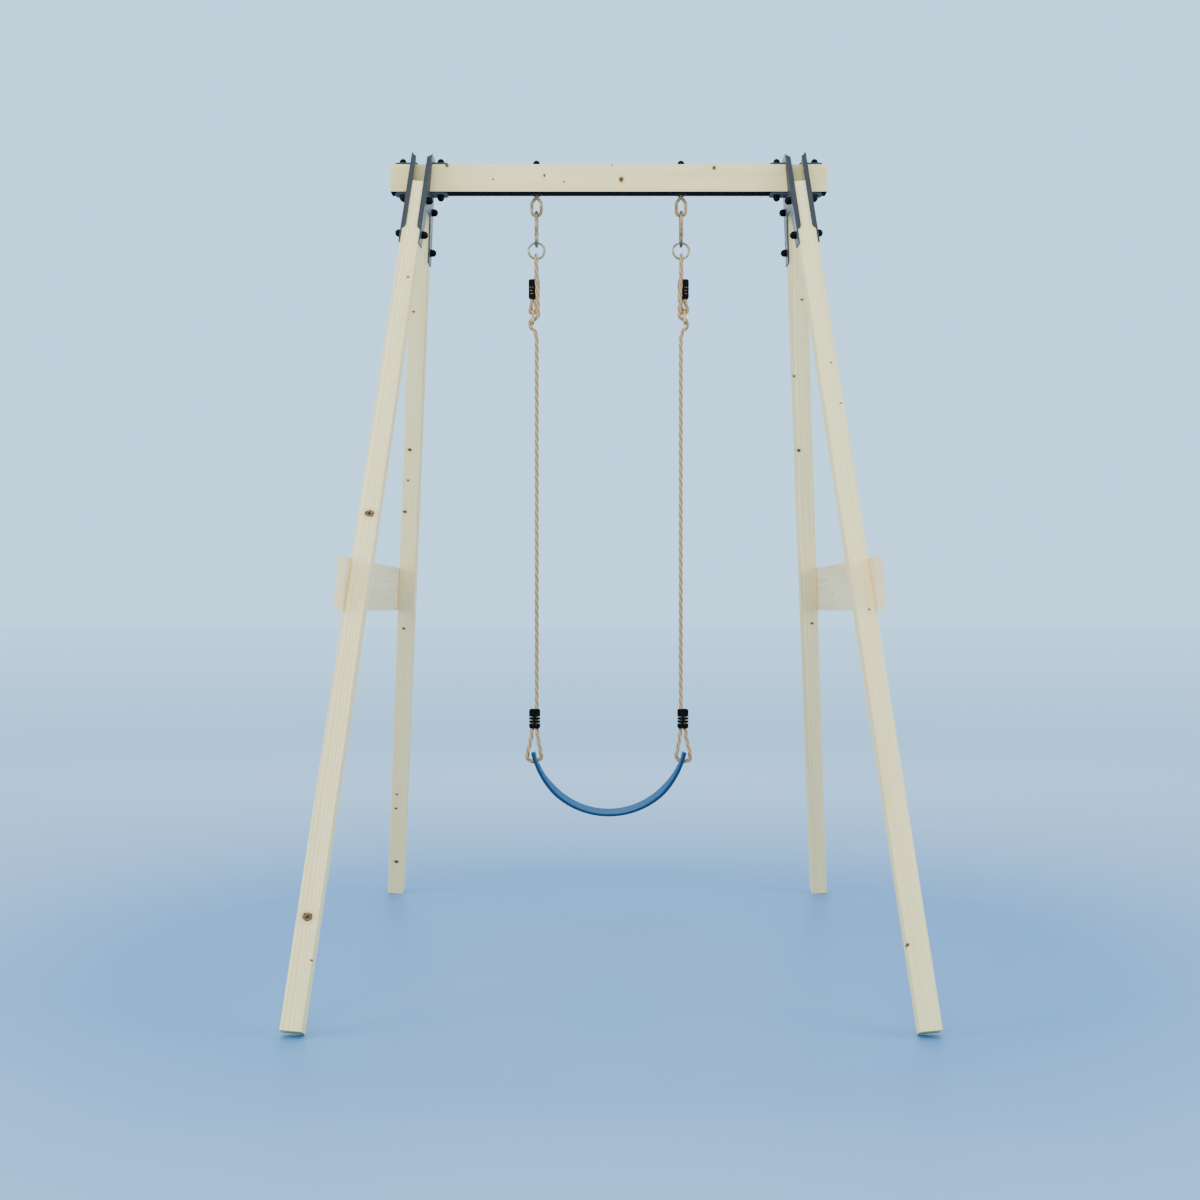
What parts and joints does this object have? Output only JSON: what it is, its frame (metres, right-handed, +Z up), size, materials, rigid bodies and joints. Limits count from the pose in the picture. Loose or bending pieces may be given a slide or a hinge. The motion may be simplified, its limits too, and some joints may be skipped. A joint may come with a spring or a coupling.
{
  "type": "swing set",
  "caption": "Single belt swing on laid ropes, hung with snap hooks from a timber frame of splayed square legs, brace boards, a beam and steel brackets.",
  "frame": {"origin": "on the floor, below the middle of the beam", "axes": "+X along the beam, -Y to the front, +Z up"},
  "size_m": [1.6846, 2.139, 2.5429],
  "materials": {
    "pale_timber": "planed, pale, unvarnished",
    "board_timber": "planed, slightly grey-green",
    "bracket_steel": "satin dark grey-blue powder coat",
    "screw_steel": "bright zinc",
    "black_plastic": "moulded, near black",
    "dark_washer": "satin dark blue-black",
    "zinc": "yellow zinc, slightly dulled",
    "ring_zinc": "yellow zinc, paler",
    "gold_zinc": "yellow zinc, warm",
    "rope_fibre": "three-strand laid tan fibre",
    "blue_rubber": "smooth moulded blue"
  },
  "bodies": {
    "frame": {"beam": "pale_timber", "leg_front_left": "pale_timber", "leg_rear_left": "pale_timber", "brace_board_left": "board_timber", "bracket_outer_left": "bracket_steel", "bracket_inner_left": "bracket_steel", "hook_left": "zinc", "leg_front_right": "pale_timber", "leg_rear_right": "pale_timber", "brace_board_right": "board_timber", "bracket_outer_right": "bracket_steel", "bracket_inner_right": "bracket_steel", "hook_right": "zinc", "brace_screws": "screw_steel", "leg_bolts": "screw_steel", "leg_bolt_nuts": "screw_steel", "leg_bolt_caps": "black_plastic", "beam_bolts": "screw_steel", "beam_bolt_nuts": "screw_steel", "beam_bolt_caps": "black_plastic", "hook_washers": "dark_washer", "hook_nuts": "screw_steel", "hook_caps": "black_plastic"},
    "link_left": {"snap_hook_left": "zinc", "gate_pin_left": "screw_steel"},
    "gate_flap_left": {"gate_left": "zinc"},
    "ring_left_body": {"ring_left": "ring_zinc"},
    "link_right": {"snap_hook_right": "zinc", "gate_pin_right": "screw_steel"},
    "gate_flap_right": {"gate_right": "zinc"},
    "ring_right_body": {"ring_right": "ring_zinc"},
    "ropes": {"rope_left": "rope_fibre", "upper_clamp_left": "black_plastic", "adjuster_left": "gold_zinc", "lower_clamp_left": "black_plastic", "rope_right": "rope_fibre", "upper_clamp_right": "black_plastic", "adjuster_right": "gold_zinc", "lower_clamp_right": "black_plastic"},
    "seat": {"seat_belt": "blue_rubber", "seat_eyelets": "zinc"}
  },
  "joints": [
    {"name": "snap_hook_swing_left", "type": "hinge", "parent": "frame", "child": "link_left", "pos_m": [-0.231, 0, 2.35], "axis": [1, 0, 0], "range_deg": [-50, 50]},
    {"name": "ring_rock_left", "type": "hinge", "parent": "link_left", "child": "ring_left_body", "pos_m": [-0.231, 0, 2.2633], "axis": [1, 0, 0], "range_deg": [-20, 20]},
    {"name": "gate_open_left", "type": "hinge", "parent": "link_left", "child": "gate_flap_left", "pos_m": [-0.231, -0.0235, 2.2873], "axis": [-1, 0, 0], "range_deg": [0, 22], "stiffness_Nm_per_rad": 0.05, "springref_deg": -22.92},
    {"name": "snap_hook_swing_right", "type": "hinge", "parent": "frame", "child": "link_right", "pos_m": [0.231, 0, 2.35], "axis": [1, 0, 0], "range_deg": [-50, 50]},
    {"name": "ring_rock_right", "type": "hinge", "parent": "link_right", "child": "ring_right_body", "pos_m": [0.231, 0, 2.2633], "axis": [1, 0, 0], "range_deg": [-20, 20]},
    {"name": "gate_open_right", "type": "hinge", "parent": "link_right", "child": "gate_flap_right", "pos_m": [0.231, -0.0235, 2.2873], "axis": [-1, 0, 0], "range_deg": [0, 22], "stiffness_Nm_per_rad": 0.05, "springref_deg": -22.92},
    {"name": "rope_rock", "type": "hinge", "parent": "ring_left_body", "child": "ropes", "pos_m": [-0.231, 0, 2.2123], "axis": [1, 0, 0], "range_deg": [-20, 20]},
    {"name": "seat_tilt", "type": "hinge", "parent": "ropes", "child": "seat", "pos_m": [0, 0, 0.607], "axis": [1, 0, 0], "range_deg": [-25, 25]}
  ],
  "couplings": [
    {"joint": "snap_hook_swing_right", "follows": "snap_hook_swing_left", "ratio": 1},
    {"joint": "ring_rock_right", "follows": "ring_rock_left", "ratio": 1}
  ]
}
